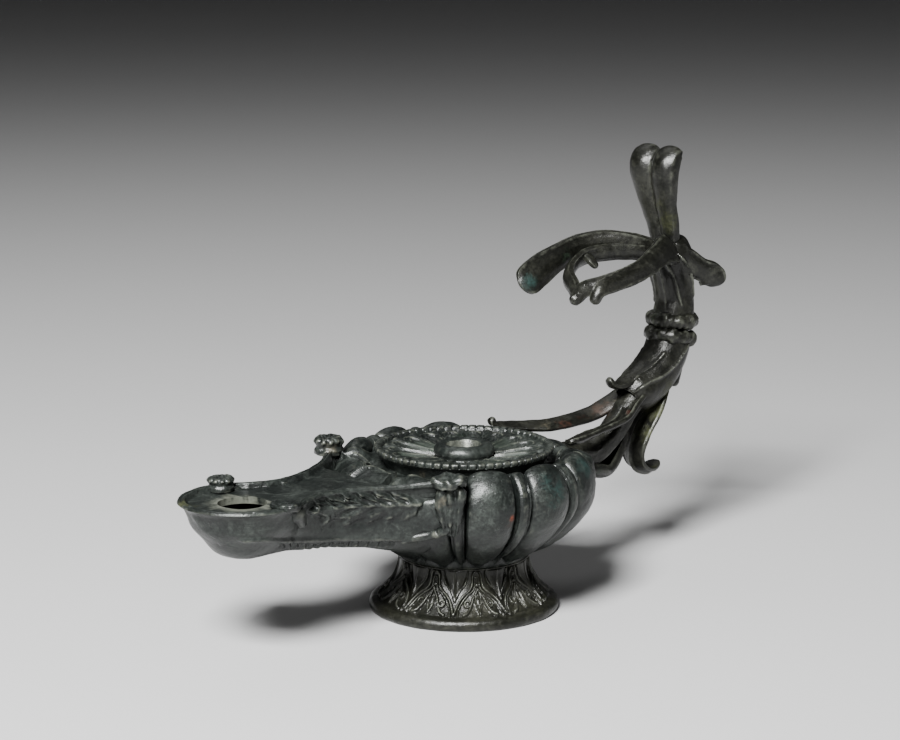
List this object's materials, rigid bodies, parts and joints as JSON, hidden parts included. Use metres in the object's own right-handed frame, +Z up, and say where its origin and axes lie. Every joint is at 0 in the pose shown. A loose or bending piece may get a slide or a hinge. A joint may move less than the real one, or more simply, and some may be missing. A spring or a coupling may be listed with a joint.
{
  "type": "oil lamp",
  "caption": "Cast bronze oil lamp: a lobed bowl on a flared foot, a covered discus with a filling hole, a long spoon-ended nozzle and an openwork leaf handle.",
  "frame": {"origin": "centre of the ring that the foot stands on", "axes": "+Z up along the foot's axis, -X along the nozzle towards its tip, +X towards the handle, Y across the lamp; its plane of symmetry is y = 0"},
  "size_m": [0.212, 0.0846, 0.1399],
  "materials": {
    "body_bronze": "dark grey-green patina, satin",
    "foot_bronze": "dark olive-brown patina, satin",
    "handle_bronze": "dark green-brown patina, satin"
  },
  "bodies": {
    "root": {"lamp_body": "body_bronze", "foot": "foot_bronze", "handle": "handle_bronze"}
  },
  "joints": []
}
